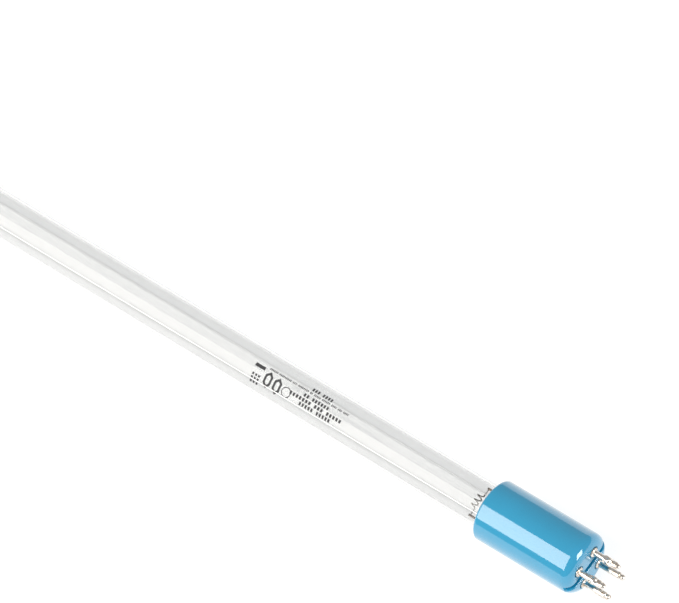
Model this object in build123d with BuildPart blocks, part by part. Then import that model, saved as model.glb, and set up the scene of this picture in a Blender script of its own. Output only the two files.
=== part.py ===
from build123d import *
import math
import os

# Single-ended germicidal tube lamp with a four-pin base.
# The lamp lies along X with its contact pins towards +X, and +Z is up.
# The origin is the centre of the flat pin face of the base.

os.makedirs("parts", exist_ok=True)

# ---------------------------------------------------------------- driving dimensions, mm
lamp_length = 793.0  # pin face of the base to the outer face of the end cap

tube_d = 15.0  # outside of the quartz tube
tube_wall = 1.0
shoulder_length = 4.0  # domed end of the round tube
pinch_length = 12.0  # flat press seal beyond the dome
pinch_width = 12.0
pinch_thickness = 3.2
pinch_edge_r = 1.2

base_length = 39.0
base_wall = 2.1
base_face_r = 3.8  # large rounding round the pin face
mouth_r = 1.0  # small rounding round each open mouth
plate_thickness = 6.0  # solid end of the base that carries the pins
slot_width = 2.2  # keying slot across the pin face
slot_depth = 2.5
slot_edge_r = 0.45

cap_length = 32.0
cap_end_thickness = 4.0
cap_face_r = 3.0

pin_pitch_y = 8.0  # along the keying slot
pin_pitch_z = 8.65  # across the keying slot
pin_neck_d = 2.1
pin_contact_d = 2.35
pin_neck_length = 4.0  # from the pin face to the contact part
pin_reach = 10.5  # from the pin face to the tip
pin_inside = 2.0  # behind the plate
pin_tip_r = 0.8
pin_hole_clearance = 0.05
collar_d = 3.4
collar_rise = 0.5  # collar above the pin face
collar_edge_r = 0.5
sink_d = 4.4  # countersink round a collar, at the pin face
sink_floor_d = 3.7
sink_depth = 0.7
dent_r = 0.9  # tool radius of a crimp dent
dent_depth = 0.28
dent_stations = (5.3, 7.5)  # crimp dents along a pin, from the pin face
dents_round = 4
nub_d = 2.0  # soldered ball at the tip of the other pins
nub_groove_d = 1.7  # groove behind the ball
nub_step = 0.3  # from the groove up to the contact part

tube_in_mouth = 5.0  # round tube inside each mouth before its dome starts
cement_recess = 2.0  # cement face behind each mouth
cement_on_pinch = 5.0  # cement round the root of the press seal

coil_d = 2.0  # mean diameter of a filament coil
coil_pitch = 1.75
coil_turns = 3
coil_run_out = 0.6  # length over which the last turn eases into its straight leg
coil_wire_d = 0.45
coil_beyond_mouth = 5.9  # coil axis outside the mouth, along the tube
support_d = 0.7  # wires that hold a coil
support_pitch = 10.6  # between the two supports of a coil
support_past_leg = 0.5
points_per_turn = 16  # points that a coil's centre line runs through
lead_pitch = 6.0  # between the two wires of one press seal
lead_d = 0.7  # wires outside a press seal
foil_width = 2.0
foil_thickness = 0.12
wire_in_pinch = 2.0  # wire inside each end of a press seal, up to its foil

return_wire_d = 0.3  # wires outside the tube to the far seal
return_wire_gap = 0.1  # between the tube and a return wire
bore_clearance = 0.8  # between a return wire and the wall of the bore
lead_loop = 4.0  # far lead beyond its seal, before it turns to its return wire
loop_back = 2.0  # turned-back end of a far lead
loop_bend_r = 0.9

bead_d = 1.4  # mercury bead
bead_from_coil = 20.0

# ---------------------------------------------------------------- sizes worked out
tube_r = tube_d / 2
return_wire_r = tube_r + return_wire_gap + return_wire_d / 2  # place of its centre line
bore_r = return_wire_r + return_wire_d / 2 + bore_clearance
base_r = bore_r + base_wall

pin_y = pin_pitch_y / 2
pin_z = pin_pitch_z / 2
pin_circle_r = math.hypot(pin_y, pin_z)
return_y = return_wire_r * pin_y / pin_circle_r
return_z = return_wire_r * pin_z / pin_circle_r
lead_y = lead_pitch / 2

base_mouth_x = -base_length
cap_mouth_x = -(lamp_length - cap_length)
near_dome_x = base_mouth_x + tube_in_mouth  # the round tube ends here
far_dome_x = cap_mouth_x - tube_in_mouth
support_y = support_pitch / 2
pin_back_x = -plate_thickness - pin_inside


def rod_along_x(radius, x_from, x_to, y=0.0, z=0.0):
    """Solid round rod parallel to X between two stations."""
    with BuildPart() as rod:
        with BuildSketch(Plane.YZ.offset(min(x_from, x_to))):
            with Locations((y, z)):
                Circle(radius)
        extrude(amount=abs(x_to - x_from))
    return rod.part


def bent_wire(diameter, points, bend_r):
    """Round wire along straight runs joined by tangent bends."""
    with BuildPart() as wire:
        with BuildLine() as route:
            FilletPolyline(*points, radius=bend_r)
        start_plane = Plane(origin=route.line @ 0, z_dir=route.line % 0)
        with BuildSketch(start_plane):
            Circle(diameter / 2)
        sweep(path=route.line)
    return wire.part


def save(part, name):
    """Label one finished piece and write it as its own file."""
    part.label = name
    export_step(part, f"parts/{name}.step")


# ---------------------------------------------------------------- press seals
# Each end of the tube is described by its dome station and the way the seal points:
# outward is +1 at the base end and -1 at the far end.
class Seal:
    def __init__(self, dome_x, mouth_x, outward):
        self.dome_x = dome_x
        self.mouth_x = mouth_x
        self.outward = outward
        self.flat_x = dome_x + outward * shoulder_length
        self.end_x = self.flat_x + outward * pinch_length
        self.foil_in_x = self.flat_x + outward * wire_in_pinch
        self.foil_out_x = self.end_x - outward * wire_in_pinch
        self.coil_x = mouth_x - outward * coil_beyond_mouth
        self.cement_out_x = mouth_x + outward * cement_recess
        self.cement_in_x = self.flat_x + outward * cement_on_pinch


near = Seal(near_dome_x, base_mouth_x, 1)
far = Seal(far_dome_x, cap_mouth_x, -1)
seals = {"near": near, "far": far}


# ---------------------------------------------------------------- wiring of each seal
def make_support(seal, side):
    """Wire from the foil, out of the seal into the tube, to one end of the coil."""
    stub_x = seal.dome_x - seal.outward * 1.5 * support_d
    room = abs(seal.coil_x - stub_x)
    start = (seal.foil_in_x, side * lead_y, 0)
    knee = (stub_x - seal.outward * room * 0.2, side * lead_y, 0)
    elbow = (stub_x - seal.outward * room * 0.65, side * support_y, 0)
    leg_x = seal.coil_x + seal.outward * coil_d / 2
    end = (leg_x - seal.outward * support_past_leg, side * support_y, 0)
    return bent_wire(support_d, (start, knee, elbow, end), 1.5 * support_d)


def make_foil(seal, side):
    """Thin sealing foil inside the flat of the seal."""
    middle_x = (seal.foil_in_x + seal.foil_out_x) / 2
    length = abs(seal.foil_out_x - seal.foil_in_x)
    with BuildPart() as foil:
        with Locations((middle_x, side * lead_y, 0)):
            Box(length, foil_width, foil_thickness)
    return foil.part


def coil_angle(y):
    """Turn of the coil at a station across the tube, even in the coil and still in its legs."""
    even_y = (coil_turns * coil_pitch - coil_run_out) / 2
    past = min(max(abs(y) - even_y, 0), coil_run_out)
    turned = min(abs(y), even_y) + past - past**2 / (2 * coil_run_out)
    return math.copysign(2 * math.pi * turned / coil_pitch, y)


def make_coil(seal):
    """Helical filament across the tube, with straight legs that are let into the supports."""
    coil_end_y = (coil_turns * coil_pitch + coil_run_out) / 2
    start = coil_angle(-coil_end_y)
    steps = 2 * math.ceil(coil_end_y / coil_pitch * points_per_turn)
    stations = [coil_end_y * (2 * index / steps - 1) for index in range(steps + 1)]
    stations = [-support_y, -(support_y + coil_end_y) / 2, *stations]
    stations += [(support_y + coil_end_y) / 2, support_y]
    points = []
    for y in stations:
        angle = coil_angle(y) - start
        across = seal.outward * coil_d / 2 * math.cos(angle)
        points.append((seal.coil_x + across, y, coil_d / 2 * math.sin(angle)))
    with BuildPart() as coil:
        with BuildLine() as route:
            Spline(*points)
        with BuildSketch(Plane(origin=route.line @ 0, z_dir=route.line % 0)):
            Circle(coil_wire_d / 2)
        sweep(path=route.line)
        for side in (-1, 1):
            add(make_support(seal, side), mode=Mode.SUBTRACT)
    return coil.part


def make_near_lead(side):
    """Wire from the near seal to the pin on its side."""
    room = near.end_x - pin_back_x
    start = (near.foil_out_x, side * lead_y, 0)
    knee = (near.end_x - room * 0.15, side * lead_y, 0)
    elbow = (near.end_x - room * 0.75, side * pin_y, side * pin_z)
    end = (pin_back_x, side * pin_y, side * pin_z)
    return bent_wire(lead_d, (start, knee, elbow, end), abs(room) * 0.1)


def make_far_lead(side):
    """Wire from the far seal that turns back to the end of its return wire."""
    loop_x = far.end_x - lead_loop
    start = (far.foil_out_x, side * lead_y, 0)
    corner = (loop_x, side * lead_y, 0)
    turn = (loop_x, side * return_y, -side * return_z)
    end = (loop_x + loop_back, side * return_y, -side * return_z)
    return bent_wire(lead_d, (start, corner, turn, end), loop_bend_r)


def make_return_wire(side):
    """Straight wire outside the tube from the far lead to a pin of the base."""
    room = near.end_x - pin_back_x
    start = (far.end_x - lead_loop + loop_back, side * return_y, -side * return_z)
    knee = (near.end_x + room * 0.4, side * return_y, -side * return_z)
    elbow = (near.end_x - room * 0.5, side * pin_y, -side * pin_z)
    end = (pin_back_x, side * pin_y, -side * pin_z)
    return bent_wire(return_wire_d, (start, knee, elbow, end), abs(room) * 0.2)


# ---------------------------------------------------------------- quartz tube
with BuildPart() as tube_envelope:
    add(rod_along_x(tube_r, far.flat_x, near.flat_x))
    fillet(tube_envelope.edges().filter_by(GeomType.CIRCLE), shoulder_length)
    for seal in (near, far):
        with BuildSketch(Plane.YZ.offset(seal.dome_x)):
            RectangleRounded(pinch_width, pinch_thickness, pinch_edge_r)
        extrude(amount=seal.outward * (shoulder_length + pinch_length))

wires = {}
for end_name, seal in seals.items():
    for number, side in ((1, 1), (2, -1)):
        wires[f"{end_name}_support_{number}"] = make_support(seal, side)
        wires[f"{end_name}_foil_{number}"] = make_foil(seal, side)
for number, side in ((1, 1), (2, -1)):
    wires[f"near_lead_{number}"] = make_near_lead(side)
    wires[f"far_lead_{number}"] = make_far_lead(side)
    wires[f"return_wire_{number}"] = make_return_wire(side)
for name, wire in wires.items():
    save(wire, name)

for end_name, seal in seals.items():
    save(make_coil(seal), f"{end_name}_filament")

cavity_r = tube_r - tube_wall
with BuildPart() as cavity:
    add(rod_along_x(cavity_r, far.flat_x + tube_wall, near.flat_x - tube_wall))
    fillet(cavity.edges().filter_by(GeomType.CIRCLE), shoulder_length - tube_wall)

with BuildPart() as quartz_tube:
    add(tube_envelope.part)
    add(cavity.part, mode=Mode.SUBTRACT)
    for name, wire in wires.items():
        if not name.startswith("return"):
            add(wire, mode=Mode.SUBTRACT)
save(quartz_tube.part, "quartz_tube")

with BuildPart() as mercury_bead:
    with Locations((far.coil_x + bead_from_coil, 0, -cavity_r + bead_d / 2)):
        Sphere(bead_d / 2)
save(mercury_bead.part, "mercury_bead")

# ---------------------------------------------------------------- four-pin base
pin_places = ((pin_y, pin_z), (-pin_y, pin_z), (pin_y, -pin_z), (-pin_y, -pin_z))

with BuildPart() as base_shell:
    with BuildSketch(Plane.YZ.offset(base_mouth_x)):
        Circle(base_r)
    extrude(amount=base_length)
    rims = base_shell.edges().filter_by(GeomType.CIRCLE).sort_by(Axis.X)
    fillet(rims[-1], base_face_r)
    fillet(base_shell.edges().filter_by(GeomType.CIRCLE).sort_by(Axis.X)[0], mouth_r)
    with BuildSketch(Plane.YZ.offset(base_mouth_x)):
        Circle(bore_r)
    extrude(amount=base_length - plate_thickness, mode=Mode.SUBTRACT)
    with BuildSketch(Plane.YZ):
        Rectangle(2 * base_r, slot_width)
    extrude(amount=-slot_depth, mode=Mode.SUBTRACT)
    slot_edges = base_shell.edges().filter_by(Axis.Y).group_by(Axis.X)[-1]
    fillet(slot_edges, slot_edge_r)
    for y, z in pin_places:
        with BuildSketch(Plane.YZ):
            with Locations((y, z)):
                Circle(sink_d / 2)
        with BuildSketch(Plane.YZ.offset(-sink_depth)):
            with Locations((y, z)):
                Circle(sink_floor_d / 2)
        loft(mode=Mode.SUBTRACT)
        hole_r = pin_contact_d / 2 + pin_hole_clearance
        add(rod_along_x(hole_r, -plate_thickness, 0, y, z), mode=Mode.SUBTRACT)
save(base_shell.part, "base_shell")


def make_pin(y, z, crimped):
    """Turned contact pin with a seating collar, crimped or closed with a ball of solder."""
    neck_r = pin_neck_d / 2
    contact_r = pin_contact_d / 2
    collar_r = collar_d / 2
    nub_r = nub_d / 2
    groove_r = nub_groove_d / 2
    step = contact_r - neck_r
    tip_start = (pin_reach - pin_tip_r, contact_r)
    tip_end = (pin_reach, contact_r - pin_tip_r)
    nub_x = pin_reach - nub_r
    groove_x = nub_x - math.sqrt(nub_r**2 - groove_r**2)
    collar_side = (collar_rise - collar_edge_r, collar_r)
    collar_top = (collar_rise, collar_r - collar_edge_r)
    with BuildPart() as pin:
        with BuildSketch(Plane.XY):
            with BuildLine():
                if crimped:
                    Line((pin_reach, 0), tip_end)
                    RadiusArc(tip_end, tip_start, -pin_tip_r)
                    contact_end = tip_start
                else:
                    ball = RadiusArc((pin_reach, 0), (nub_x, nub_r), -nub_r)
                    RadiusArc(ball @ 1, (groove_x, groove_r), -nub_r)
                    contact_end = (groove_x - nub_step, contact_r)
                    Line((groove_x, groove_r), contact_end)
                Polyline(
                    contact_end,
                    (pin_neck_length + step, contact_r),
                    (pin_neck_length, neck_r),
                    (collar_rise, neck_r),
                    collar_top,
                )
                RadiusArc(collar_top, collar_side, -collar_edge_r)
                Polyline(
                    collar_side,
                    (-sink_depth, collar_r),
                    (-sink_depth, contact_r),
                    (pin_back_x, contact_r),
                    (pin_back_x, 0),
                    (pin_reach, 0),
                )
            make_face()
        revolve(axis=Axis.X)
        if crimped:
            reach = contact_r + dent_r - dent_depth
            for index, station in enumerate(dent_stations):
                for turn in range(dents_round):
                    angle = 2 * math.pi * (turn + index / 2) / dents_round
                    place = (station, reach * math.cos(angle), reach * math.sin(angle))
                    with Locations(place):
                        Sphere(dent_r, mode=Mode.SUBTRACT)
    return pin.part.moved(Location((0, y, z)))


for number, (y, z) in enumerate(pin_places, start=1):
    save(make_pin(y, z, crimped=z > 0), f"contact_pin_{number}")

# ---------------------------------------------------------------- plain end cap
with BuildPart() as end_cap_shell:
    with BuildSketch(Plane.YZ.offset(-lamp_length)):
        Circle(base_r)
    extrude(amount=cap_length)
    fillet(end_cap_shell.edges().filter_by(GeomType.CIRCLE).sort_by(Axis.X)[0], cap_face_r)
    fillet(end_cap_shell.edges().filter_by(GeomType.CIRCLE).sort_by(Axis.X)[-1], mouth_r)
    with BuildSketch(Plane.YZ.offset(cap_mouth_x)):
        Circle(bore_r)
    extrude(amount=-(cap_length - cap_end_thickness), mode=Mode.SUBTRACT)
save(end_cap_shell.part, "end_cap_shell")

# ---------------------------------------------------------------- cement in both mouths
for name, seal in (("base_cement", near), ("cap_cement", far)):
    with BuildPart() as cement:
        add(rod_along_x(bore_r, seal.cement_out_x, seal.cement_in_x))
        add(tube_envelope.part, mode=Mode.SUBTRACT)
        for side in (-1, 1):
            add(make_return_wire(side), mode=Mode.SUBTRACT)
    save(cement.part, name)
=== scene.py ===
"""Looks of a single-ended germicidal quartz lamp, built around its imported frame.

The file is laid out as an add-on, with one operator for each group of pieces, and runs as a script.
"""

import math

import bpy
from mathutils import Matrix, Quaternion, Vector


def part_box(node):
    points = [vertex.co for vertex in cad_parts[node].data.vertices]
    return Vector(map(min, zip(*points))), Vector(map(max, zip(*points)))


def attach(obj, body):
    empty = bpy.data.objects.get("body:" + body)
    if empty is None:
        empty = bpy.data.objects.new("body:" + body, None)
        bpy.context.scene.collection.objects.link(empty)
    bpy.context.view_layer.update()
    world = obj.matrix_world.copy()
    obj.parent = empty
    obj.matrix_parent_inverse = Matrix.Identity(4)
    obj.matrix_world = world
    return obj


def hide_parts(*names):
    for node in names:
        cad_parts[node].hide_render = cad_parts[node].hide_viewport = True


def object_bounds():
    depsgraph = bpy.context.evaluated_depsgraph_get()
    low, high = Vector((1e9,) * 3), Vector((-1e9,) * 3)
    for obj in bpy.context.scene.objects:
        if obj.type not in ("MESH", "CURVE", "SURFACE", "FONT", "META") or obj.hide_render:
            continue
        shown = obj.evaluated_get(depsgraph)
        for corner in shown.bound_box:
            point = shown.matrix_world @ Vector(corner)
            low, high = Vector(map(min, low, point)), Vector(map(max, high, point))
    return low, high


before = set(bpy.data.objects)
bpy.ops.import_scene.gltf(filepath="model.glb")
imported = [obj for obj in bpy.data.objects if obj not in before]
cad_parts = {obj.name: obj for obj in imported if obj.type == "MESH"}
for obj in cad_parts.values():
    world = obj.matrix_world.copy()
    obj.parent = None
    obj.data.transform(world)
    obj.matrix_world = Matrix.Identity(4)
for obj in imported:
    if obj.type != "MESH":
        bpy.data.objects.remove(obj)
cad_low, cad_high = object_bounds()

bl_info = {
    "name": "Germicidal Lamp Looks",
    "version": (1, 0, 0),
    "blender": (4, 5, 0),
    "location": "3D View > Sidebar > Lamp",
    "description": "Glazed base, quartz tube, coils, pins and printed mark of a single-ended lamp",
    "category": "Object",
}

MM = 0.001
BODY = "root"
ENDS = {"near": 1, "far": -1}  # each end of the tube, and the way out of it along X
MERGE_DISTANCE = 0.0005 * MM  # points nearer than this are one point


# ---------------------------------------------------------------- places read from the frame
def low(node):
    """Lowest corner of a frame node."""
    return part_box(node)[0]


def high(node):
    """Highest corner of a frame node."""
    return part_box(node)[1]


def four(piece):
    """Names of the four like nodes, two in each press seal."""
    return [f"{end}_{piece}_{number}" for end in ENDS for number in (1, 2)]


TUBE_R = (high("quartz_tube").y - low("quartz_tube").y) / 2
BASE_MOUTH_X = low("base_shell").x
CAP_MOUTH_X = high("end_cap_shell").x


# ---------------------------------------------------------------- settings
class LampSizes(bpy.types.PropertyGroup):
    """Sizes of the pieces that are made here."""

    tube_wall: bpy.props.FloatProperty(
        name="Tube wall", description="Thickness of the quartz",
        default=1.0 * MM, unit="LENGTH",
    )
    tube_in_mouth: bpy.props.FloatProperty(
        name="Tube in mouth", description="Round tube inside each mouth before its dome starts",
        default=5.0 * MM, unit="LENGTH",
    )
    tube_facets: bpy.props.IntProperty(
        name="Tube facets", description="Flats round the tube",
        default=160, min=32,
    )
    coil_d: bpy.props.FloatProperty(
        name="Coil", description="Mean diameter of a coil",
        default=2.0 * MM, unit="LENGTH",
    )
    coil_turns: bpy.props.IntProperty(
        name="Coil turns", description="Turns of a coil",
        default=3, min=1,
    )
    coil_pitch: bpy.props.FloatProperty(
        name="Coil pitch", description="Pitch of a coil",
        default=1.75 * MM, unit="LENGTH",
    )
    coil_run_out: bpy.props.FloatProperty(
        name="Coil run-out", description="Length over which a coil eases into its leg",
        default=0.6 * MM, unit="LENGTH",
    )
    fine_d: bpy.props.FloatProperty(
        name="Fine coil", description="Mean diameter of the fine winding",
        default=0.36 * MM, unit="LENGTH",
    )
    fine_wire: bpy.props.FloatProperty(
        name="Fine wire", description="Wire of the fine winding",
        default=0.09 * MM, unit="LENGTH",
    )
    fine_pitch: bpy.props.FloatProperty(
        name="Fine pitch", description="Pitch of the fine winding",
        default=0.15 * MM, unit="LENGTH",
    )
    mark_from_mouth: bpy.props.FloatProperty(
        name="Mark place", description="Middle of the printed mark, from the mouth of the base",
        default=75.5 * MM, unit="LENGTH",
    )
    mark_turn: bpy.props.FloatProperty(
        name="Mark turn", description="Turn of the printed mark round the tube",
        default=math.radians(15.4), subtype="ANGLE",
    )


class LampColours(bpy.types.PropertyGroup):
    """Colours of the finishes."""

    glaze: bpy.props.FloatVectorProperty(
        name="Glaze", description="Blue of the base and the cap", size=3, subtype="COLOR",
        default=(0.018, 0.29, 0.50), min=0, max=1,
    )
    quartz: bpy.props.FloatVectorProperty(
        name="Quartz", description="Tint of the tube", size=3, subtype="COLOR",
        default=(0.87, 0.874, 0.874), min=0, max=1,
    )
    nickel: bpy.props.FloatVectorProperty(
        name="Nickel", description="Plating of the pins", size=3, subtype="COLOR",
        default=(0.86, 0.82, 0.77), min=0, max=1,
    )
    wire: bpy.props.FloatVectorProperty(
        name="Wire", description="Bright wires", size=3, subtype="COLOR",
        default=(0.80, 0.80, 0.80), min=0, max=1,
    )
    tungsten: bpy.props.FloatVectorProperty(
        name="Tungsten", description="Coils and their supports", size=3, subtype="COLOR",
        default=(0.16, 0.135, 0.115), min=0, max=1,
    )
    ink: bpy.props.FloatVectorProperty(
        name="Ink", description="Printed mark", size=3, subtype="COLOR",
        default=(0.02, 0.02, 0.022), min=0, max=1,
    )
    cement: bpy.props.FloatVectorProperty(
        name="Cement", description="Cement in the mouths", size=3, subtype="COLOR",
        default=(0.62, 0.59, 0.52), min=0, max=1,
    )
    floor: bpy.props.FloatVectorProperty(
        name="Floor", description="Studio floor", size=3, subtype="COLOR",
        default=(0.32, 0.32, 0.32), min=0, max=1,
    )


class StudioSettings(bpy.types.PropertyGroup):
    """Settings of the camera."""

    azimuth: bpy.props.FloatProperty(
        name="Azimuth", description="Camera azimuth, 0 looks along +Y",
        default=math.radians(60.15), subtype="ANGLE",
    )
    elevation: bpy.props.FloatProperty(
        name="Elevation", description="Camera elevation",
        default=math.radians(61.0), subtype="ANGLE",
    )
    roll: bpy.props.FloatProperty(
        name="Roll", description="Camera roll about its own axis",
        default=math.radians(-26.05), subtype="ANGLE",
    )
    distance: bpy.props.FloatProperty(
        name="Distance", description="Camera to the pin face, before it moves aside",
        default=2.5, unit="LENGTH",
    )
    lens: bpy.props.FloatProperty(
        name="Lens", description="Focal length in millimetres",
        default=416.0, unit="CAMERA",
    )
    face_right: bpy.props.FloatProperty(
        name="Face right", description="Pin face to the right of the middle of the picture",
        default=79.5 * MM, unit="LENGTH",
    )
    face_down: bpy.props.FloatProperty(
        name="Face down", description="Pin face below the middle of the picture",
        default=84.8 * MM, unit="LENGTH",
    )


# ---------------------------------------------------------------- node arithmetic
class Value:
    """An output socket of one material; arithmetic on it adds Math nodes."""

    def __init__(self, paint, socket):
        self.paint = paint
        self.socket = socket

    def maths(self, operation, first, second):
        return self.paint.node("ShaderNodeMath", {"operation": operation}, {0: first, 1: second})

    def __add__(self, other):
        return self.maths("ADD", self, other)

    __radd__ = __add__

    def __sub__(self, other):
        return self.maths("SUBTRACT", self, other)

    def __rsub__(self, other):
        return self.maths("SUBTRACT", other, self)

    def __mul__(self, other):
        return self.maths("MULTIPLY", self, other)

    __rmul__ = __mul__


class Paint:
    """A new material and the nodes that are added to it."""

    # numbers of the colour sockets of a Mix node
    FIRST_COLOUR = 6
    SECOND_COLOUR = 7
    MIXED_COLOUR = 2

    def __init__(self, name):
        self.material = bpy.data.materials.new(name)
        self.material.use_nodes = True
        self.tree = self.material.node_tree
        self.shader = self.tree.nodes["Principled BSDF"]

    def node(self, kind, settings=None, inputs=None, output=0):
        """Add a node, set it up, feed its sockets and return one output."""
        made = self.tree.nodes.new(kind)
        for key, value in (settings or {}).items():
            if key == "stops":
                self.set_stops(made.color_ramp, value)
            else:
                setattr(made, key, value)
        for key, value in (inputs or {}).items():
            self.feed(made.inputs[key], value)
        return Value(self, made.outputs[output])

    def feed(self, socket, value):
        """Link a value to a socket, or set a number or a colour on it."""
        if isinstance(value, Value):
            self.tree.links.new(value.socket, socket)
        else:
            socket.default_value = value

    def set_stops(self, ramp, stops):
        """Give a ramp its stops as (place, grey level) pairs."""
        for index, (place, level) in enumerate(stops):
            if index < 2:
                stop = ramp.elements[index]
                stop.position = place
            else:
                stop = ramp.elements.new(place)
            stop.color = (level, level, level, 1)

    def place(self, scale=(1, 1, 1)):
        """Object coordinates, stretched."""
        where = self.node("ShaderNodeTexCoord", output="Object")
        return self.node("ShaderNodeMapping", {}, {"Vector": where, "Scale": scale})

    def noise(self, scale, detail=3.0, stretch=(1, 1, 1)):
        """Noise between 0 and 1 on object coordinates, with its scale per metre."""
        inputs = {"Vector": self.place(stretch), "Scale": scale, "Detail": detail}
        return self.node("ShaderNodeTexNoise", {}, inputs)

    def ramp(self, value, *stops):
        """Grey ramp of a value."""
        return self.node("ShaderNodeValToRGB", {"stops": stops}, {"Fac": value})

    def blend(self, factor, first, second):
        """Mix of two colours, whose sockets share their names with others of the node."""
        inputs = {"Factor": factor, self.FIRST_COLOUR: first, self.SECOND_COLOUR: second}
        return self.node("ShaderNodeMix", {"data_type": "RGBA"}, inputs, self.MIXED_COLOUR)

    def bump(self, height, strength, distance):
        """Bump that feeds the shader's normal."""
        inputs = {"Height": height, "Strength": strength, "Distance": distance}
        self.feed(self.shader.inputs["Normal"], self.node("ShaderNodeBump", {}, inputs))

    def set(self, **sockets):
        """Set shader sockets, with _ for the spaces in their names."""
        for key, value in sockets.items():
            self.feed(self.shader.inputs[key.replace("_", " ")], value)


def rgba(colour, gain=1.0):
    """A colour property as four numbers, scaled."""
    return (colour[0] * gain, colour[1] * gain, colour[2] * gain, 1.0)


# ---------------------------------------------------------------- finishes
def blue_glaze(colours):
    """Glossy blue glaze with slight depth changes and a soft ripple."""
    paint = Paint("glaze_finish")
    cloud = paint.noise(90.0, 2.0)
    speck = paint.ramp(paint.noise(2600.0, 1.0), (0.66, 0.0), (0.74, 1.0))
    body = paint.blend(cloud, rgba(colours.glaze, 0.93), rgba(colours.glaze, 1.07))
    paint.set(Base_Color=paint.blend(speck * 0.25, body, rgba(colours.glaze, 0.6)))
    paint.set(Roughness=0.05 + 0.05 * paint.noise(320.0), IOR=1.62)
    paint.set(Coat_Weight=1.0, Coat_Roughness=0.03)
    paint.bump(paint.noise(210.0, 1.0), 0.12, 0.05 * MM)
    return paint.material


def clear_quartz(colours):
    """Clear fused quartz with faint draw lines along the tube."""
    paint = Paint("quartz_finish")
    paint.set(Base_Color=rgba(colours.quartz), Transmission_Weight=1.0, IOR=1.458)
    lines = paint.noise(900.0, 2.0, (0.01, 1, 1))
    paint.set(Roughness=0.02 * paint.ramp(lines, (0.6, 0.0), (0.8, 1.0)))
    paint.bump(lines, 0.03, 0.02 * MM)
    return paint.material


def nickel_plate(colours):
    """Bright plating with turning marks, bronze stains and dull traces of handling."""
    paint = Paint("plate_finish")
    turning = paint.noise(3000.0, 2.0, (1, 0.02, 0.02))
    stain = paint.ramp(paint.noise(900.0, 4.0), (0.50, 0.0), (0.66, 1.0))
    bronze = rgba((0.42, 0.27, 0.14))
    paint.set(Base_Color=paint.blend(stain * 0.7, rgba(colours.nickel), bronze), Metallic=1.0)
    paint.set(Roughness=0.16 + 0.1 * turning + 0.12 * stain)
    paint.bump(turning, 0.10, 0.02 * MM)
    return paint.material


def drawn_wire(colours):
    """Bright drawn wire with fine lines along it."""
    paint = Paint("bright_wire_finish")
    lines = paint.noise(5200.0, 2.0, (0.02, 1, 1))
    paint.set(Base_Color=paint.blend(lines, rgba(colours.wire, 0.85), rgba(colours.wire)))
    paint.set(Metallic=1.0, Roughness=0.22 + 0.15 * lines)
    paint.bump(lines, 0.08, 0.01 * MM)
    return paint.material


def annealed_wire(colours):
    """Bright annealed wire with a soft bloom."""
    paint = Paint("return_wire_finish")
    bloom = paint.noise(420.0, 2.0, (0.2, 1, 1))
    pale = paint.blend(bloom, rgba(colours.wire, 1.18), rgba(colours.wire, 1.24))
    paint.set(Base_Color=pale, Metallic=1.0)
    paint.set(Roughness=0.22 + 0.2 * bloom)
    paint.bump(paint.noise(5200.0, 2.0), 0.08, 0.01 * MM)
    return paint.material


def dark_wire(colours):
    """Dark support wire with a bronze heat tint."""
    paint = Paint("dark_wire_finish")
    tint = paint.ramp(paint.noise(260.0, 2.0), (0.42, 0.0), (0.62, 1.0))
    bronze = rgba((0.30, 0.19, 0.10))
    paint.set(Base_Color=paint.blend(tint, rgba(colours.tungsten, 1.2), bronze), Metallic=1.0)
    grain = paint.noise(4200.0, 2.0)
    paint.set(Roughness=0.28 + 0.2 * grain)
    paint.bump(grain, 0.1, 0.01 * MM)
    return paint.material


def coated_tungsten(colours):
    """Dark fine wire with chalky traces of emitter paste."""
    paint = Paint("coil_finish")
    paste = paint.ramp(paint.noise(1500.0, 3.0), (0.48, 0.0), (0.60, 1.0))
    chalk = rgba((0.46, 0.43, 0.38))
    paint.set(Base_Color=paint.blend(paste * 0.6, rgba(colours.tungsten), chalk))
    paint.set(Metallic=1.0 - paste * 0.9, Roughness=0.3 + 0.5 * paste)
    paint.bump(paint.noise(6000.0, 2.0), 0.25, 0.02 * MM)
    return paint.material


def rolled_foil():
    """Thin rolled foil."""
    paint = Paint("foil_finish")
    lines = paint.noise(4000.0, 2.0, (1, 0.03, 1))
    paint.set(Base_Color=paint.blend(lines, rgba((0.42, 0.42, 0.43)), rgba((0.6, 0.6, 0.6))))
    paint.set(Metallic=1.0, Roughness=0.25 + 0.2 * lines)
    paint.bump(lines, 0.1, 0.01 * MM)
    return paint.material


def grainy_cement(colours):
    """Off-white cement with sand grain, and small pore holes with painted shade in them."""
    paint = Paint("cement_finish")
    grain = paint.noise(1900.0, 4.0)
    # pore holes: sunk by the bump, and coloured darker as painted shade inside them
    pores_and_painted_shade = paint.ramp(paint.noise(800.0, 2.0), (0.30, 0.0), (0.40, 1.0))
    shade = paint.blend(grain, rgba(colours.cement, 0.8), rgba(colours.cement, 1.15))
    # painted shade: the pore holes get the cement at 0.55 instead of its grain tone
    paint.set(Base_Color=paint.blend(pores_and_painted_shade, rgba(colours.cement, 0.55), shade))
    paint.set(Roughness=0.82 + 0.12 * grain)
    paint.bump(grain + pores_and_painted_shade, 0.7, 0.12 * MM)
    return paint.material


def printed_ink(colours):
    """Dull dark ink with a slightly uneven film."""
    paint = Paint("ink_finish")
    film = paint.noise(2400.0, 3.0)
    paint.set(Base_Color=paint.blend(film, rgba(colours.ink), rgba(colours.ink, 2.6)))
    paint.set(Roughness=0.45 + 0.25 * film)
    paint.bump(film, 0.2, 0.01 * MM)
    return paint.material


def liquid_metal():
    """Mercury with a trace of dull skin."""
    paint = Paint("mercury_finish")
    skin = paint.ramp(paint.noise(1400.0, 2.0), (0.55, 0.0), (0.7, 1.0))
    paint.set(Base_Color=paint.blend(skin, rgba((0.8, 0.81, 0.83)), rgba((0.62, 0.62, 0.62))))
    paint.set(Metallic=1.0, Roughness=0.02 + 0.2 * skin)
    paint.bump(paint.noise(900.0), 0.02, 0.01 * MM)
    return paint.material


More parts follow.
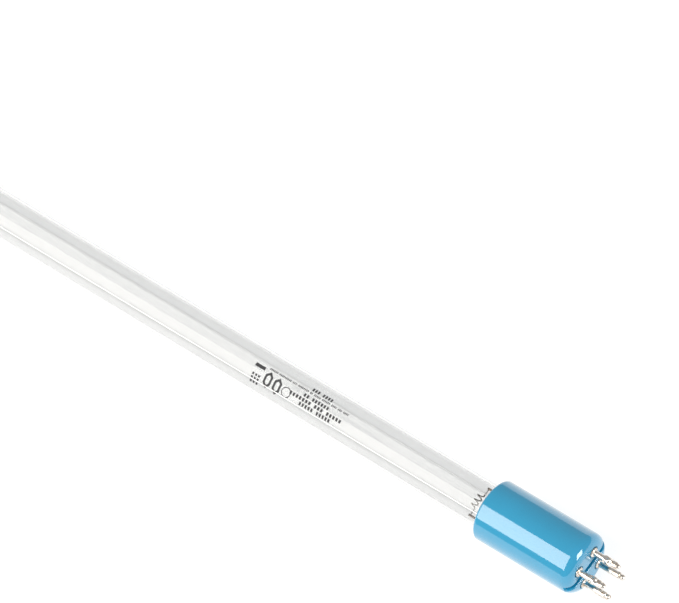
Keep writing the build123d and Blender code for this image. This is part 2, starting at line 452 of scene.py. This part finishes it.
def light_table(colours):
    """Matt pale floor that is evenly lit from inside."""
    paint = Paint("floor_finish")
    grain = paint.noise(40.0, 3.0)
    paint.set(Base_Color=paint.blend(grain, rgba(colours.floor, 0.97), rgba(colours.floor)))
    paint.set(Roughness=0.7, Specular_IOR_Level=0.2)
    paint.set(Emission_Color=(1, 1, 1, 1), Emission_Strength=0.8)
    return paint.material


# ---------------------------------------------------------------- modelling helpers
def clear_selection():
    """Leave edit mode and deselect everything."""
    if bpy.context.object and bpy.context.object.mode != "OBJECT":
        bpy.ops.object.mode_set(mode="OBJECT")
    bpy.ops.object.select_all(action="DESELECT")


def pick(obj, *others):
    """Select these objects, with the first one active."""
    clear_selection()
    for one in (obj, *others):
        one.select_set(True)
    bpy.context.view_layer.objects.active = obj


def apply_all(obj):
    """Apply the modifiers and put the object's place in its mesh."""
    pick(obj)
    for modifier in list(obj.modifiers):
        bpy.ops.object.modifier_apply(modifier=modifier.name)
    bpy.ops.object.transform_apply(location=True, rotation=True, scale=True)


def merge_and_face_out(obj):
    """Merge doubled points and turn the faces outwards."""
    pick(obj)
    bpy.ops.object.mode_set(mode="EDIT")
    bpy.ops.mesh.select_all(action="SELECT")
    bpy.ops.mesh.remove_doubles(threshold=MERGE_DISTANCE)
    bpy.ops.mesh.normals_make_consistent(inside=False)
    bpy.ops.object.mode_set(mode="OBJECT")


def paint_nodes(material, *names):
    """Give frame nodes a finish."""
    for name in names:
        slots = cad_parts[name].data.materials
        slots.clear()
        slots.append(material)


def add_piece(obj, name, material, replaced=()):
    """Name a finished piece, paint it and let it ride on the lamp."""
    obj.name = name
    obj.data.name = name
    obj.data.materials.clear()
    obj.data.materials.append(material)
    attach(obj, BODY)
    if replaced:
        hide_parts(*replaced)


def rod(radius, x_from, x_to, facets):
    """New cylinder along X, active and in object mode."""
    clear_selection()
    bpy.ops.mesh.primitive_cylinder_add(
        vertices=facets,
        radius=radius,
        depth=x_to - x_from,
        location=((x_from + x_to) / 2, 0, 0),
        rotation=(0, math.pi / 2, 0),
    )
    made = bpy.context.object
    bpy.ops.object.transform_apply(location=True, rotation=True, scale=True)
    return made


def draw_out(obj, outward, sections):
    """Draw one end of a rod out along X, through (x, half width, half thickness) in millimetres."""
    pick(obj)
    bpy.ops.object.mode_set(mode="EDIT")
    bpy.ops.mesh.select_mode(type="FACE")
    bpy.ops.mesh.select_all(action="DESELECT")
    bpy.ops.object.mode_set(mode="OBJECT")
    for face in obj.data.polygons:
        face.select = face.normal.x * outward > 0.9
    place = max(v.co.x * outward for v in obj.data.vertices) * outward
    width = thickness = max(v.co.y for v in obj.data.vertices) / MM
    bpy.ops.object.mode_set(mode="EDIT")
    for x, new_width, new_thickness in sections:
        step = x * MM - place
        bpy.ops.mesh.extrude_region_move(TRANSFORM_OT_translate={"value": (step, 0, 0)})
        bpy.ops.transform.resize(
            value=(1, new_width / width, new_thickness / thickness),
            center_override=(x * MM, 0, 0),
        )
        place, width, thickness = x * MM, new_width, new_thickness
    bpy.ops.object.mode_set(mode="OBJECT")


def smooth(obj, angle=math.radians(35)):
    """Smooth shading with sharp edges kept."""
    pick(obj)
    bpy.ops.object.shade_smooth_by_angle(angle=angle)


# ---------------------------------------------------------------- operators
class LAMP_OT_glaze(bpy.types.Operator):
    """Glaze the slotted base and the plain end cap"""

    bl_idname = "lamp.glaze"
    bl_label = "Glaze Base and Cap"

    def execute(self, context):
        material = blue_glaze(context.scene.lamp_colours)
        paint_nodes(material, "base_shell", "end_cap_shell")
        return {"FINISHED"}


class LAMP_OT_tube(bpy.types.Operator):
    """Make the quartz tube with its press-sealed ends"""

    bl_idname = "lamp.tube"
    bl_label = "Make Quartz Tube"

    # distance past the round tube, half width and half thickness, in millimetres
    PRESSED = (
        (0.7, 7.45, 7.3),
        (1.4, 7.3, 6.8),
        (2.1, 7.1, 6.0),
        (2.8, 6.85, 5.0),
        (3.4, 6.6, 4.0),
        (4.0, 6.35, 3.0),
        (4.6, 6.15, 2.2),
        (5.3, 6.0, 1.75),
        (6.2, 6.0, 1.6),
        (15.6, 6.0, 1.6),
        (15.9, 5.85, 1.45),
        (16.0, 5.6, 1.2),
    )
    HOLLOW = (
        (0.6, 6.4, 6.25),
        (1.2, 6.2, 5.7),
        (1.7, 5.95, 5.0),
        (2.2, 5.6, 4.0),
        (2.6, 5.2, 2.9),
        (2.9, 4.7, 1.8),
        (3.0, 4.2, 1.2),
    )

    def execute(self, context):
        sizes = context.scene.lamp_sizes
        near_x = BASE_MOUTH_X + sizes.tube_in_mouth
        far_x = CAP_MOUTH_X - sizes.tube_in_mouth
        tube = rod(TUBE_R, far_x, near_x, sizes.tube_facets)
        bore = rod(TUBE_R - sizes.tube_wall, far_x, near_x, sizes.tube_facets)
        round_ends = {"near": near_x / MM, "far": far_x / MM}
        for obj, sections in ((tube, self.PRESSED), (bore, self.HOLLOW)):
            for end, outward in ENDS.items():
                start = round_ends[end]
                drawn = [(start + outward * further, *half) for further, *half in sections]
                draw_out(obj, outward, drawn)
            merge_and_face_out(obj)
        bore.data.flip_normals()
        pick(tube, bore)
        bpy.ops.object.join()
        smooth(tube)
        add_piece(
            tube,
            "quartz_envelope",
            clear_quartz(context.scene.lamp_colours),
            ("quartz_tube",),
        )
        return {"FINISHED"}


class LAMP_OT_coils(bpy.types.Operator):
    """Wind the two filaments as coiled coils"""

    bl_idname = "lamp.coils"
    bl_label = "Wind Filaments"

    LINE_STEPS = 420  # steps along the centre line of the large winding
    FINE_STEPS = 9  # steps in one turn of the fine winding

    def execute(self, context):
        sizes = context.scene.lamp_sizes
        material = coated_tungsten(context.scene.lamp_colours)
        for end, outward in ENDS.items():
            coil = self.wind(sizes, end, outward)
            add_piece(coil, f"{end}_coiled_coil", material, (f"{end}_filament",))
        return {"FINISHED"}

    def centre_line(self, sizes, end, outward):
        """Points of the large winding, from one support to the other."""
        node = f"{end}_filament"
        middle_x = (low(node).x + high(node).x) / 2
        reach = high(node).y
        even = (sizes.coil_turns * sizes.coil_pitch - sizes.coil_run_out) / 2
        points = []
        for index in range(self.LINE_STEPS + 1):
            y = reach * (2 * index / self.LINE_STEPS - 1)
            past = min(max(abs(y) - even, 0), sizes.coil_run_out)
            turned = min(abs(y), even) + past - past**2 / (2 * sizes.coil_run_out)
            angle = math.copysign(2 * math.pi * turned / sizes.coil_pitch, y)
            angle += math.pi * sizes.coil_turns
            across = outward * math.cos(angle) * sizes.coil_d / 2
            points.append(Vector((middle_x + across, y, math.sin(angle) * sizes.coil_d / 2)))
        return points

    def wind(self, sizes, end, outward):
        """Fine winding round the centre line of the large one."""
        line = self.centre_line(sizes, end, outward)
        points = []
        turn = 0.0
        side = Vector((0, 0, 1))
        for start, stop in zip(line, line[1:]):
            along = stop - start
            side = (side - along * side.dot(along) / along.dot(along)).normalized()
            other = along.normalized().cross(side)
            count = max(1, round(along.length / sizes.fine_pitch * self.FINE_STEPS))
            for index in range(count):
                ring = side * math.cos(turn) + other * math.sin(turn)
                points.append(start + along * (index / count) + ring * (sizes.fine_d / 2))
                turn += 2 * math.pi * along.length / sizes.fine_pitch / count
        clear_selection()
        curve = bpy.data.curves.new("fine_winding", "CURVE")
        curve.dimensions = "3D"
        curve.bevel_depth = sizes.fine_wire / 2
        curve.bevel_resolution = 1
        curve.use_fill_caps = True
        spline = curve.splines.new("POLY")
        spline.points.add(len(points) - 1)
        for place, point in zip(spline.points, points):
            place.co = (*point, 1)
        coil = bpy.data.objects.new("coil", curve)
        bpy.context.scene.collection.objects.link(coil)
        pick(coil)
        bpy.ops.object.convert(target="MESH")
        coil = bpy.context.object
        merge_and_face_out(coil)
        smooth(coil, math.radians(80))
        return coil


class LAMP_OT_wires(bpy.types.Operator):
    """Finish the leads, the return wires, the supports and the sealing foils"""

    bl_idname = "lamp.wires"
    bl_label = "Finish Wires and Foils"

    def execute(self, context):
        colours = context.scene.lamp_colours
        paint_nodes(drawn_wire(colours), *four("lead"))
        paint_nodes(annealed_wire(colours), "return_wire_1", "return_wire_2")
        paint_nodes(dark_wire(colours), *four("support"))
        paint_nodes(rolled_foil(), *four("foil"))
        return {"FINISHED"}


class LAMP_OT_pins(bpy.types.Operator):
    """Make the plated contact pins, two crimped and two closed with a ball of solder"""

    bl_idname = "lamp.pins"
    bl_label = "Make Pins"

    CONTACT_R = 1.175 * MM
    SHANK_FACETS = 48
    BACK_OF_COLLAR = -0.8 * MM  # the straight shank inside the base ends here
    TURNS = (8, -11, 3, -5)  # turn of each pin about its own axis, in degrees
    # crimp dents, in millimetres
    DENT_FROM_AXIS = 1.3
    DENT_DEPTH = 0.34
    DENT_REACH = 0.8  # radius of the metal that a dent draws in

    # distance from the pin face, half width and half thickness, in millimetres
    SHANK = (
        (-0.75, 1.175, 1.175),
        (-0.7, 1.6, 1.6),
        (-0.6, 1.7, 1.7),
        (0.1, 1.7, 1.7),
        (0.28, 1.66, 1.66),
        (0.42, 1.5, 1.5),
        (0.5, 1.25, 1.25),
        (0.55, 1.06, 1.06),
    )
    CRIMPED = (
        (3.0, 1.02, 1.02),
        (3.5, 1.07, 1.05),
        (3.9, 1.18, 1.1),
        (4.1, 1.24, 1.13),
        (4.3, 1.3, 1.16),
        (4.5, 1.34, 1.17),
        (4.7, 1.37, 1.18),
        (4.9, 1.39, 1.18),
        (5.1, 1.4, 1.18),
        (5.3, 1.4, 1.18),
        (5.5, 1.4, 1.18),
        (5.7, 1.39, 1.18),
        (5.9, 1.38, 1.18),
        (6.1, 1.38, 1.18),
        (6.3, 1.38, 1.18),
        (6.5, 1.39, 1.18),
        (6.7, 1.4, 1.18),
        (6.9, 1.39, 1.17),
        (7.1, 1.38, 1.16),
        (7.3, 1.36, 1.15),
        (7.5, 1.34, 1.14),
        (7.7, 1.31, 1.13),
        (7.9, 1.28, 1.12),
        (8.3, 1.2, 1.08),
        (8.8, 1.1, 1.02),
        (9.3, 1.0, 0.95),
        (9.8, 0.87, 0.84),
        (10.15, 0.7, 0.68),
        (10.38, 0.48, 0.48),
        (10.5, 0.2, 0.2),
    )
    # station from the pin face in millimetres, and turn round the pin in degrees
    DENTS = (
        *((5.0, turn) for turn in (70, 160, 250, 340)),
        *((6.9, turn) for turn in (115, 205, 295, 25)),
    )
    SOLDERED = (
        (3.9, 1.02, 1.02),
        (4.15, 1.16, 1.16),
        (4.3, 1.175, 1.175),
        (8.35, 1.175, 1.175),
        (8.55, 1.12, 1.12),
        (8.68, 0.9, 0.9),
        (8.8, 0.82, 0.82),
        (8.95, 0.86, 0.86),
        (9.2, 0.98, 0.98),
        (9.5, 1.03, 1.03),
        (9.8, 0.98, 0.98),
        (10.08, 0.84, 0.84),
        (10.3, 0.62, 0.62),
        (10.44, 0.36, 0.36),
        (10.5, 0.14, 0.14),
    )

    def execute(self, context):
        material = nickel_plate(context.scene.lamp_colours)
        for number, pin_turn in enumerate(self.TURNS, start=1):
            node = f"contact_pin_{number}"
            middle = (low(node) + high(node)) / 2
            crimped = middle.z > 0
            pin = rod(self.CONTACT_R, low(node).x, self.BACK_OF_COLLAR, self.SHANK_FACETS)
            draw_out(pin, 1, self.SHANK + (self.CRIMPED if crimped else self.SOLDERED))
            if crimped:
                for x, turn in self.DENTS:
                    self.press_dent(pin, x * MM, math.radians(turn))
            pin.location = (0, middle.y, middle.z)
            pin.rotation_euler = (math.radians(pin_turn), 0, 0)
            apply_all(pin)
            merge_and_face_out(pin)
            smooth(pin, math.radians(50))
            add_piece(pin, f"plated_pin_{number}", material, (node,))
        return {"FINISHED"}

    def press_dent(self, pin, x, turn):
        """Press a small crimp dent into one side of a pin."""
        inward = Vector((0, -math.cos(turn), -math.sin(turn)))
        place = Vector((x, 0, 0)) - inward * self.DENT_FROM_AXIS * MM
        pick(pin)
        bpy.ops.object.mode_set(mode="EDIT")
        bpy.ops.mesh.select_all(action="DESELECT")
        bpy.ops.object.mode_set(mode="OBJECT")
        faces = pin.data.polygons
        min(faces, key=lambda face: (face.center - place).length).select = True
        bpy.ops.object.mode_set(mode="EDIT")
        bpy.ops.transform.translate(
            value=inward * self.DENT_DEPTH * MM,
            use_proportional_edit=True,
            proportional_edit_falloff="SMOOTH",
            proportional_size=self.DENT_REACH * MM,
        )
        bpy.ops.object.mode_set(mode="OBJECT")


class LAMP_OT_fillings(bpy.types.Operator):
    """Finish the cement in both mouths and the mercury bead"""

    bl_idname = "lamp.fillings"
    bl_label = "Finish Cement and Mercury"

    def execute(self, context):
        paint_nodes(grainy_cement(context.scene.lamp_colours), "base_cement", "cap_cement")
        paint_nodes(liquid_metal(), "mercury_bead")
        return {"FINISHED"}


class LAMP_OT_mark(bpy.types.Operator):
    """Print a generic mark on the tube"""

    bl_idname = "lamp.mark"
    bl_label = "Print Mark"

    # start along the tube, place across it, height and pitch of the strokes, strokes per word
    LINES = (
        (2.8, 3.5, 1.05, 1.08, (3, 4)),
        (-14.0, 2.2, 0.7, 0.56, (6, 9, 3, 8, 2, 5, 6, 4, 3, 4)),
        (1.4, 0.6, 1.15, 1.18, (2, 6)),
        (-3.5, -1.0, 1.2, 1.28, (7, 3, 5)),
        (1.1, -2.6, 1.15, 1.2, (5, 5)),
    )
    BAR = (-17.5, 1.2, 4.0, 1.15)  # along, across, length and height
    DOTS = (-18.7, -3.1)  # first dot of the middle row of a square block
    DOT = 0.75
    DOT_PITCH = 1.2
    DOT_COUNT = 3
    # along, across, radius, width of the line and corners of each blank outline
    OUTLINES = (
        (-5.1, -1.85, 1.8, 0.3, 32),
        (-9.0, -1.7, 2.8, 0.8, 6),
        (-12.9, -1.4, 2.8, 0.8, 6),
    )
    STROKE_SHARE = 0.62  # ink in the pitch of the strokes of a word
    WORD_GAP = 0.9  # between two words, in pitches
    HEXAGON_WIDTH = 0.62  # of its height
    OUTLINE_CUTS = 24  # cuts of an outline, shared by its sides, so that it can bend
    ABOVE_TUBE = 1 * MM  # the flat print, before it is laid on
    FILM_OFFSET = 0.015 * MM
    FILM_THICKNESS = 0.01 * MM

    def execute(self, context):
        sizes = context.scene.lamp_sizes
        self.middle_x = BASE_MOUTH_X - sizes.mark_from_mouth
        marks = [self.stroke(*self.BAR)]
        for start, across, tall, pitch, words in self.LINES:
            marks += self.print_line(start, across, tall, pitch, words)
        along, across = self.DOTS
        for row in (-1, 0, 1):
            row_across = across + row * self.DOT_PITCH
            dots = self.stroke(
                along, row_across, self.DOT, self.DOT, self.DOT_COUNT, self.DOT_PITCH
            )
            marks.append(dots)
        marks += [self.outline(*shape) for shape in self.OUTLINES]
        pick(*marks)
        bpy.ops.object.join()
        self.wrap(bpy.context.object, sizes)
        mark = bpy.context.object
        add_piece(mark, "printed_mark", printed_ink(context.scene.lamp_colours))
        return {"FINISHED"}

    def spot(self, along, across):
        """Flat place of a stroke, in millimetres from the middle of the mark."""
        return (self.middle_x + along * MM, across * MM, TUBE_R + self.ABOVE_TUBE)

    def stroke(self, along, across, length, height, count=1, pitch=0.0):
        """A row of equal filled strokes."""
        clear_selection()
        bpy.ops.mesh.primitive_grid_add(
            x_subdivisions=1, y_subdivisions=4, size=1, location=self.spot(along, across)
        )
        made = bpy.context.object
        made.scale = (length * MM, height * MM, 1)
        bpy.ops.object.transform_apply(location=True, rotation=True, scale=True)
        if count > 1:
            row = made.modifiers.new("row", "ARRAY")
            row.use_relative_offset = False
            row.use_constant_offset = True
            row.constant_offset_displace = (pitch * MM, 0, 0)
            row.count = count
            bpy.ops.object.modifier_apply(modifier=row.name)
        return made

    def print_line(self, start, across, tall, pitch, words):
        """A line of plain upright strokes in word-like groups."""
        made = []
        along = start
        for word in words:
            width = self.STROKE_SHARE * pitch
            made.append(self.stroke(along, across, width, tall, word, pitch))
            along += (word + self.WORD_GAP) * pitch
        return made

    def outline(self, along, across, radius, line, corners):
        """Plain ring, or a narrow hexagon."""
        clear_selection()
        bpy.ops.mesh.primitive_circle_add(
            vertices=corners,
            radius=radius * MM,
            fill_type="NGON",
            location=self.spot(along, across),
        )
        made = bpy.context.object
        if corners == 6:
            made.scale = (self.HEXAGON_WIDTH, 1, 1)
            bpy.ops.object.transform_apply(location=False, rotation=False, scale=True)
        bpy.ops.object.mode_set(mode="EDIT")
        bpy.ops.mesh.select_all(action="SELECT")
        bpy.ops.mesh.inset(thickness=line * MM)
        bpy.ops.mesh.delete(type="FACE")
        bpy.ops.mesh.select_all(action="SELECT")
        bpy.ops.mesh.subdivide(number_cuts=max(1, self.OUTLINE_CUTS // corners))
        bpy.ops.object.mode_set(mode="OBJECT")
        bpy.ops.object.transform_apply(location=True, rotation=True, scale=True)
        return made

    def wrap(self, mark, sizes):
        """Turn the mark to its side of the tube, lay it on and give it a film's thickness."""
        mark.rotation_euler = (sizes.mark_turn, 0, 0)
        lay = mark.modifiers.new("lay", "SHRINKWRAP")
        lay.target = bpy.data.objects["quartz_envelope"]
        lay.wrap_method = "PROJECT"
        lay.use_project_z = True
        lay.use_negative_direction = True
        lay.use_positive_direction = False
        lay.offset = self.FILM_OFFSET
        film = mark.modifiers.new("film", "SOLIDIFY")
        film.thickness = self.FILM_THICKNESS
        apply_all(mark)


class LAMP_OT_stage(bpy.types.Operator):
    """Set up the floor, the lights and the camera"""

    bl_idname = "lamp.stage"
    bl_label = "Set Up Studio"

    FLOOR_SIZE = 30  # metres
    WORLD_STRENGTH = 0.4
    SIDE_TILT = math.radians(41.4)  # of the side softbox, from straight above towards -Y
    TUBE_MIDDLE = (-0.435, 0, 0)
    PIN_FACE = (0, 0, 0)
    # direction from the lamp, distance, point that it faces, size, watts and colour
    SIDE_SOFTBOX = (
        (0, -math.sin(SIDE_TILT), math.cos(SIDE_TILT)), 0.8, TUBE_MIDDLE,
        (0.93, 0.78), 9.5, (1, 0.97, 0.91),
    )
    END_SOFTBOX = ((0.887, 0.164, 0.430), 0.9, PIN_FACE, (0.5, 0.36), 4.5, (1, 1, 1))

    def execute(self, context):
        scene = context.scene
        self.lay_floor(scene)
        self.set_world(scene)
        self.softbox("side_softbox", *self.SIDE_SOFTBOX)
        self.softbox("end_softbox", *self.END_SOFTBOX)
        self.place_camera(scene)
        scene.view_settings.view_transform = "Standard"
        return {"FINISHED"}

    def lay_floor(self, scene):
        """Large pale floor that the lamp lies on."""
        clear_selection()
        bpy.ops.mesh.primitive_plane_add(size=self.FLOOR_SIZE, location=(0, 0, cad_low.z))
        floor = bpy.context.object
        floor.name = "floor"
        bpy.ops.object.transform_apply(location=True, rotation=True, scale=True)
        floor.data.materials.append(light_table(scene.lamp_colours))

    def set_world(self, scene):
        """Even pale surroundings."""
        world = bpy.data.worlds.new("studio")
        world.use_nodes = True
        background = world.node_tree.nodes["Background"]
        background.inputs["Color"].default_value = (1, 1, 1, 1)
        background.inputs["Strength"].default_value = self.WORLD_STRENGTH
        scene.world = world

    def softbox(self, name, direction, distance, aim, size, power, colour):
        """Rectangular light that faces a point on the lamp, with its long side along X."""
        light = bpy.data.lights.new(name, "AREA")
        light.shape = "RECTANGLE"
        light.size, light.size_y = size
        light.energy = power
        light.color = colour
        softbox = bpy.data.objects.new(name, light)
        back = Vector(direction).normalized()
        across = back.cross(Vector((1, 0, 0))).normalized()
        along = across.cross(back).normalized()
        turn = Matrix((along, across, back)).transposed()
        softbox.rotation_mode = "QUATERNION"
        softbox.rotation_quaternion = turn.to_quaternion()
        softbox.location = Vector(aim) + back * distance
        bpy.context.scene.collection.objects.link(softbox)

    def place_camera(self, scene):
        """Long lens on the pin end, turned about its own axis."""
        studio = scene.lamp_studio
        flat = math.cos(studio.elevation)
        back = Vector(
            (
                math.sin(studio.azimuth) * flat,
                -math.cos(studio.azimuth) * flat,
                math.sin(studio.elevation),
            )
        )
        level = back.to_track_quat("Z", "Y")
        turn = Quaternion(back, studio.roll) @ level
        right = turn @ Vector((1, 0, 0))
        up = turn @ Vector((0, 1, 0))
        camera = bpy.data.objects.new("camera", bpy.data.cameras.new("camera"))
        camera.data.lens = studio.lens
        camera.data.clip_start = 0.05
        camera.data.clip_end = 60
        camera.rotation_mode = "QUATERNION"
        camera.rotation_quaternion = turn
        camera.location = (
            back * studio.distance - right * studio.face_right + up * studio.face_down
        )
        scene.collection.objects.link(camera)
        scene.camera = camera


class LAMP_PT_panel(bpy.types.Panel):
    """Sidebar panel that lists the settings and the operators"""

    bl_label = "Germicidal Lamp"
    bl_idname = "LAMP_PT_panel"
    bl_space_type = "VIEW_3D"
    bl_region_type = "UI"
    bl_category = "Lamp"

    def draw(self, context):
        scene = context.scene
        for group in (scene.lamp_sizes, scene.lamp_colours, scene.lamp_studio):
            column = self.layout.column(align=True)
            for name in group.__annotations__:
                column.prop(group, name)
        for operator in OPERATORS:
            self.layout.operator(operator.bl_idname)


GROUPS = (LampSizes, LampColours, StudioSettings)
OPERATORS = (
    LAMP_OT_stage,
    LAMP_OT_glaze,
    LAMP_OT_tube,
    LAMP_OT_coils,
    LAMP_OT_wires,
    LAMP_OT_pins,
    LAMP_OT_fillings,
    LAMP_OT_mark,
)


def register():
    """Register the classes and hang the settings on the scene."""
    for one in (*GROUPS, *OPERATORS, LAMP_PT_panel):
        bpy.utils.register_class(one)
    bpy.types.Scene.lamp_sizes = bpy.props.PointerProperty(type=LampSizes)
    bpy.types.Scene.lamp_colours = bpy.props.PointerProperty(type=LampColours)
    bpy.types.Scene.lamp_studio = bpy.props.PointerProperty(type=StudioSettings)


def unregister():
    """Remove the settings and the classes."""
    del bpy.types.Scene.lamp_studio
    del bpy.types.Scene.lamp_colours
    del bpy.types.Scene.lamp_sizes
    for one in reversed((*GROUPS, *OPERATORS, LAMP_PT_panel)):
        bpy.utils.unregister_class(one)


def main():
    """Build everything in order."""
    register()
    bpy.ops.lamp.stage()
    bpy.ops.lamp.glaze()
    bpy.ops.lamp.tube()
    bpy.ops.lamp.coils()
    bpy.ops.lamp.wires()
    bpy.ops.lamp.pins()
    bpy.ops.lamp.fillings()
    bpy.ops.lamp.mark()


if __name__ == "__main__":
    main()
